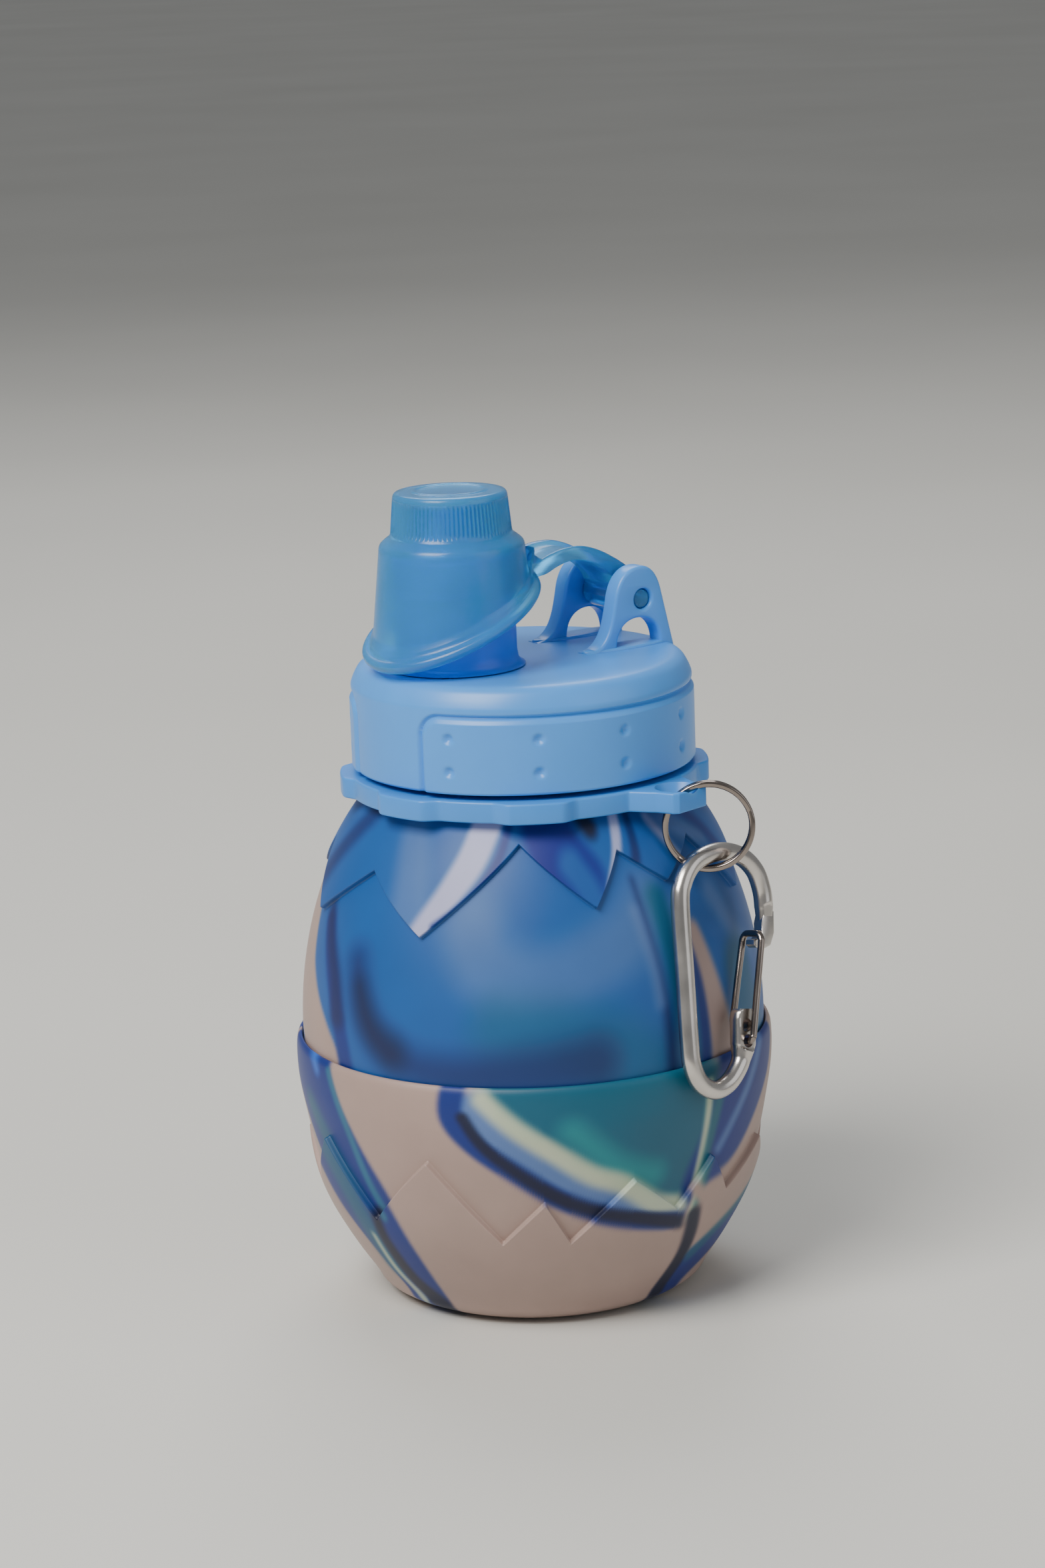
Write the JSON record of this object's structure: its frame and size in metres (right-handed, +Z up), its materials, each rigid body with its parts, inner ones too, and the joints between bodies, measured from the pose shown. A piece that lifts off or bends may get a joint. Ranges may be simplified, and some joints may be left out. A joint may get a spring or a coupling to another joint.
{
  "type": "folding water bottle",
  "caption": "Collapsible egg-shaped silicone bottle with a rigid threaded neck, screw lid, drinking spout under a hinged dust cap, and a wire-gate carabiner on a split ring.",
  "frame": {"origin": "centre of the flat base, on the surface the bottle stands on", "axes": "+Z up along the bottle's axis, +X from the spout to the hinge ears of the lid, -Y to the side with the lug and carabiner"},
  "size_m": [0.1, 0.1052, 0.1704],
  "materials": {
    "silicone": "satin marbled silicone",
    "blue_plastic": "satin moulded",
    "grip_plastic": "fine matte",
    "spout_plastic": "satin moulded",
    "clear_blue_plastic": "translucent satin",
    "seal_rubber": "matte",
    "ring_steel": "polished",
    "clip_aluminium": "satin polished",
    "gate_steel": "polished wire"
  },
  "bodies": {
    "cup": {"lower_cup": "silicone", "upper_dome": "silicone"},
    "neck": {"neck_sleeve": "silicone", "threaded_neck": "blue_plastic", "collar_ring": "blue_plastic"},
    "gasket": {"lid_gasket": "seal_rubber"},
    "lid": {"lid_liner": "blue_plastic", "lid_shell": "blue_plastic", "grip_panel_front": "grip_plastic", "grip_panel_back": "grip_plastic", "drink_spout": "spout_plastic"},
    "cap": {"dust_cap": "clear_blue_plastic"},
    "ring": {"split_ring": "ring_steel"},
    "clip": {"carabiner_frame": "clip_aluminium"},
    "gate": {"wire_gate": "gate_steel"}
  },
  "joints": [
    {"name": "body_fold", "type": "slide", "parent": "cup", "child": "neck", "axis": [0, 0, 1], "range_m": [-0.04, 0], "deforming": ["upper_dome"]},
    {"name": "lid_lift", "type": "slide", "parent": "neck", "child": "gasket", "axis": [0, 0, 1], "range_m": [0, 0.0076]},
    {"name": "lid_turn", "type": "hinge", "parent": "gasket", "child": "lid", "pos_m": [0, 0, 0.1342], "axis": [0, 0, 1], "range_deg": [0, 540]},
    {"name": "cap_flip", "type": "hinge", "parent": "lid", "child": "cap", "pos_m": [0.024, 0, 0.144], "axis": [0, 1, 0], "range_deg": [0, 160]},
    {"name": "ring_rock", "type": "hinge", "parent": "neck", "child": "ring", "pos_m": [0.00925, -0.04005, 0.1088], "axis": [-0.5736, -0.8192, 0], "range_deg": [0, 65]},
    {"name": "carabiner_swing", "type": "hinge", "parent": "ring", "child": "clip", "pos_m": [0.01418, -0.04374, 0.097], "axis": [-0.9925, -0.1219, 0], "range_deg": [0, 85]},
    {"name": "gate_open", "type": "hinge", "parent": "clip", "child": "gate", "pos_m": [0.01653, -0.05026, 0.06056], "axis": [0.1198, -0.9759, 0.1822], "range_deg": [0, 24], "stiffness_Nm_per_rad": 0.03, "springref_deg": -17.19}
  ],
  "couplings": [
    {"joint": "lid_lift", "follows": "lid_turn", "m_per_rad": 0.00079577},
    {"joint": "ring_rock", "follows": "body_fold", "rad_per_m": -27}
  ]
}
